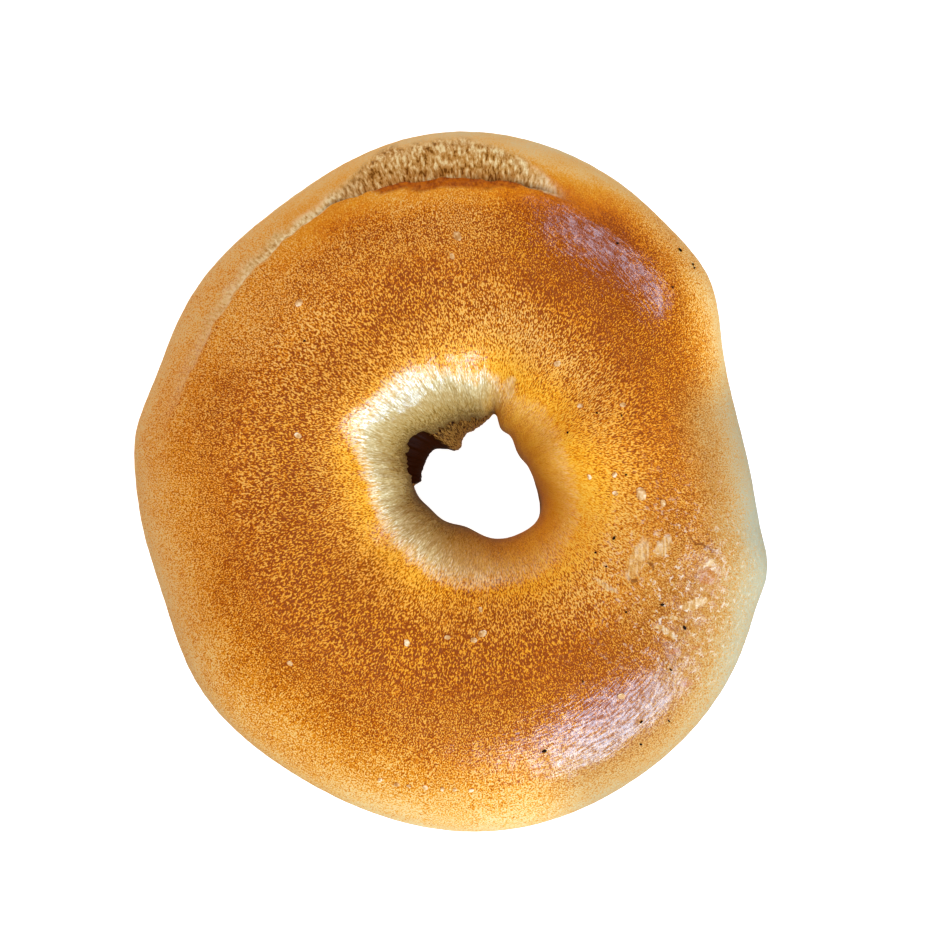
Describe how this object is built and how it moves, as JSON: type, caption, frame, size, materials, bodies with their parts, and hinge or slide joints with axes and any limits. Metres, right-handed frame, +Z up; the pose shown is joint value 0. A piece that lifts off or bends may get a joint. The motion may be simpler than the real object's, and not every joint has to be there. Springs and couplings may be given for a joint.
{
  "type": "bagel",
  "caption": "Plain baked bagel: an uneven ring of bread with a burst upper shoulder, an off-centre hole with a torn inner lip, and a flat base.",
  "frame": {"origin": "on the flat base, under the middle of the whole outline", "axes": "+Z up from the flat base to the crown, +Y along the longer diameter, +X to the right as seen from above, towards the side that the hole is nearer to"},
  "size_m": [0.0998, 0.1102, 0.0364],
  "materials": {
    "baked_crust": null
  },
  "bodies": {
    "root": {"bagel": "baked_crust"}
  },
  "joints": []
}
